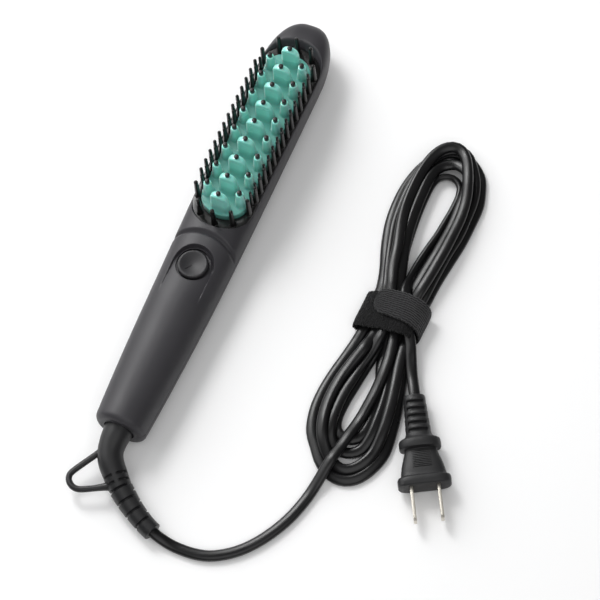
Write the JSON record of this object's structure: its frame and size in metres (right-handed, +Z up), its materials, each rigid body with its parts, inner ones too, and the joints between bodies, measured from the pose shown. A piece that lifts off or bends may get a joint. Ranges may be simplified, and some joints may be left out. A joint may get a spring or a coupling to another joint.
{
  "type": "hair straightening brush",
  "caption": "Slim hair straightening brush with a finned heated plate between bristle rows, a power button, and a swivelling mains cord tied in a hank with its plug.",
  "frame": {"origin": "middle of the brush's length and width, on the surface that its back rests on", "axes": "+Y from the cord's end towards the head's tip, +Z up out of the bristle side, +X across"},
  "size_m": [0.1731, 0.2723, 0.039],
  "materials": {
    "housing": "soft-touch satin charcoal",
    "bristles": "moulded black nylon",
    "ceramic_coat": "mint ceramic coat over die-cast aluminium",
    "cord": "glossy black flexible PVC",
    "cord_fittings": "satin black flexible PVC",
    "plug": "satin black PVC",
    "strap": "black hook-and-loop tape",
    "blades": "nickel-plated brass",
    "steel": "zinc-plated steel",
    "brass": "plain brass",
    "bearing": "natural acetal",
    "insulation": "mica sheet",
    "wire": "silicone insulation",
    "board": "glass-epoxy board",
    "component": "moulded epoxy",
    "capacitor": "moulded resin"
  },
  "bodies": {
    "handset": {"back_shell": "housing", "handle_cover": "housing", "head_cover": "housing", "shell_screws": "steel", "bristle_frame": "bristles", "heating_plate": "ceramic_coat", "fin_tips": "bristles", "cone_tips": "bristles", "ptc_heater": "steel", "heater_clamp": "steel", "clamp_screws": "steel", "insulation_sheet": "insulation", "thermistor": "component", "thermal_fuse": "steel", "heater_wires": "wire", "circuit_board": "board", "board_screws": "steel", "triac": "component", "film_capacitor": "capacitor", "tactile_switch": "component", "mains_wires": "wire", "contact_springs": "brass", "tail_bearing": "bearing"},
    "button": {"power_button": "housing", "switch_plunger": "steel"},
    "cord_side": {"swivel_sleeve": "cord_fittings", "contact_rings": "brass", "retainer_clip": "steel", "cord_boot": "cord_fittings", "cord_lead": "cord", "cord_hank": "cord", "cord_tail": "cord", "hank_strap": "strap", "plug_body": "plug", "plug_blades": "blades"}
  },
  "joints": [
    {"name": "button_press", "type": "slide", "parent": "handset", "child": "button", "axis": [0, 0, -1], "range_m": [0, 0.0008], "stiffness_N_per_m": 600, "springref_m": -0.0005},
    {"name": "cord_swivel", "type": "hinge", "parent": "handset", "child": "cord_side", "pos_m": [0, -0.105, 0.0125], "axis": [0, 1, 0], "continuous": true}
  ]
}
